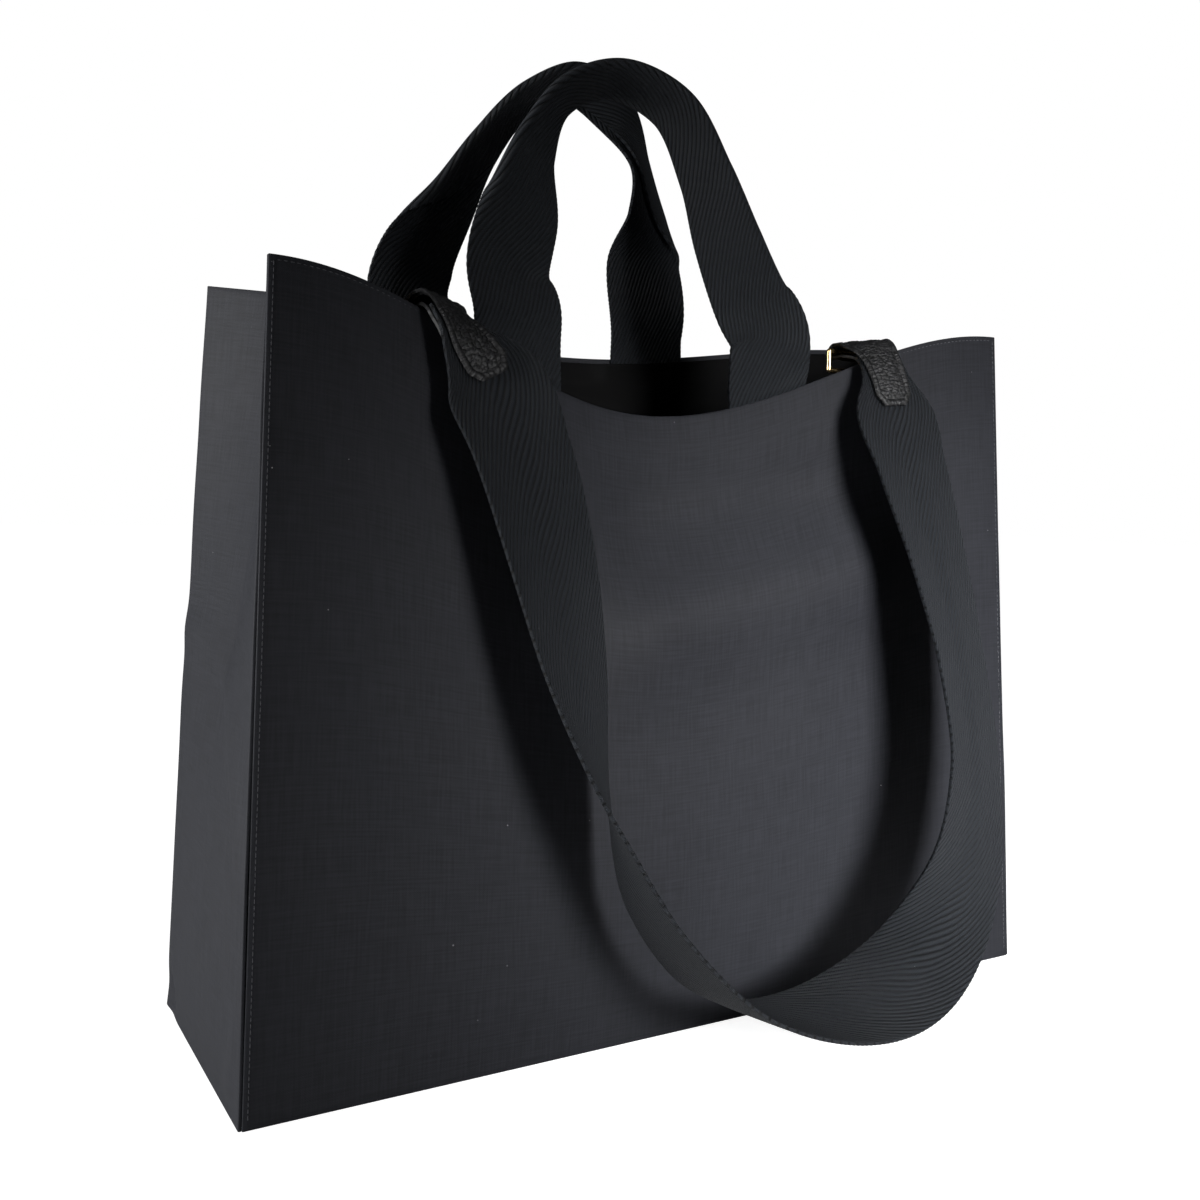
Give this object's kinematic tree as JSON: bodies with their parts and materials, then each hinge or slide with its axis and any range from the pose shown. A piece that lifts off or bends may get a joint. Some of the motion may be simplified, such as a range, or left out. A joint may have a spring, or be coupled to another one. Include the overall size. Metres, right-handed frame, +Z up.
{
  "type": "canvas tote bag",
  "caption": "Structured open-top canvas tote with gusseted sides, webbing carry handles and a webbing shoulder strap on leather tabs and snap hooks.",
  "frame": {"origin": "centre of the base, on the face that the bag rests on", "axes": "+Z up, +X along the width to the right of someone facing the front, -Y the front that the strap hangs on"},
  "size_m": [0.46, 0.2425, 0.5105],
  "materials": {
    "canvas": "matt tightly woven bonded canvas, blue-black",
    "webbing": "matt diagonal twill webbing, blue-black",
    "lining": "fine plain-woven lining cloth",
    "leather": "pebbled leather with a soft sheen",
    "gold_metal": "polished pale gold plating",
    "board": "dense grey-brown fibre board"
  },
  "bodies": {
    "bag": {"front_panel": "canvas", "back_panel": "canvas", "left_gusset": "canvas", "right_gusset": "canvas", "base_panel": "canvas", "base_board": "board", "front_lining": "lining", "back_lining": "lining", "left_lining": "lining", "right_lining": "lining", "base_lining": "lining", "front_facing": "canvas", "back_facing": "canvas", "left_facing": "canvas", "right_facing": "canvas", "front_handle_ends": "webbing", "back_handle_ends": "webbing", "left_ring_tab": "leather", "right_ring_tab": "leather"},
    "front_handle": {"front_handle": "webbing"},
    "back_handle": {"back_handle": "webbing"},
    "shoulder_strap": {"shoulder_strap": "webbing", "left_strap_tab": "leather", "right_strap_tab": "leather"},
    "left_ring": {"left_ring": "gold_metal"},
    "left_eye": {"left_eye": "gold_metal"},
    "left_hook": {"left_hook": "gold_metal", "left_gate_pin": "gold_metal"},
    "left_gate": {"left_gate": "gold_metal"},
    "right_ring": {"right_ring": "gold_metal"},
    "right_eye": {"right_eye": "gold_metal"},
    "right_hook": {"right_hook": "gold_metal", "right_gate_pin": "gold_metal"},
    "right_gate": {"right_gate": "gold_metal"}
  },
  "joints": [
    {"name": "front_handle_fold", "type": "hinge", "parent": "bag", "child": "front_handle", "pos_m": [-0.017, -0.04405, 0.34623], "axis": [-1, 0, 0], "range_deg": [-80, 8]},
    {"name": "back_handle_fold", "type": "hinge", "parent": "bag", "child": "back_handle", "pos_m": [-0.035, 0.05225, 0.36741], "axis": [-1, 0, 0], "range_deg": [-8, 95]},
    {"name": "strap_swing", "type": "hinge", "parent": "bag", "child": "shoulder_strap", "pos_m": [0, -0.03562, 0.35537], "axis": [-1, 0, 0], "range_deg": [-2, 95]},
    {"name": "left_ring_tilt", "type": "hinge", "parent": "bag", "child": "left_ring", "pos_m": [-0.1348, -0.03562, 0.30252], "axis": [1, 0, 0], "range_deg": [-4, 4]},
    {"name": "left_eye_tilt", "type": "hinge", "parent": "bag", "child": "left_eye", "pos_m": [-0.1348, -0.03562, 0.35537], "axis": [1, 0, 0], "range_deg": [-2, 2]},
    {"name": "left_hook_swivel", "type": "hinge", "parent": "left_eye", "child": "left_hook", "pos_m": [-0.1348, -0.03562, 0.33802], "axis": [0, 0, 1], "range_deg": [-8, 8]},
    {"name": "left_gate_open", "type": "hinge", "parent": "left_hook", "child": "left_gate", "pos_m": [-0.1348, -0.02862, 0.33352], "axis": [1, 0, 0], "range_deg": [-26, 0], "stiffness_Nm_per_rad": 0.004, "springref_deg": 5.73},
    {"name": "right_ring_tilt", "type": "hinge", "parent": "bag", "child": "right_ring", "pos_m": [0.1212, -0.03562, 0.30252], "axis": [1, 0, 0], "range_deg": [-4, 4]},
    {"name": "right_eye_tilt", "type": "hinge", "parent": "bag", "child": "right_eye", "pos_m": [0.1212, -0.03562, 0.35537], "axis": [1, 0, 0], "range_deg": [-2, 2]},
    {"name": "right_hook_swivel", "type": "hinge", "parent": "right_eye", "child": "right_hook", "pos_m": [0.1212, -0.03562, 0.33802], "axis": [0, 0, 1], "range_deg": [-8, 8]},
    {"name": "right_gate_open", "type": "hinge", "parent": "right_hook", "child": "right_gate", "pos_m": [0.1212, -0.02862, 0.33352], "axis": [1, 0, 0], "range_deg": [-26, 0], "stiffness_Nm_per_rad": 0.004, "springref_deg": 5.73}
  ]
}
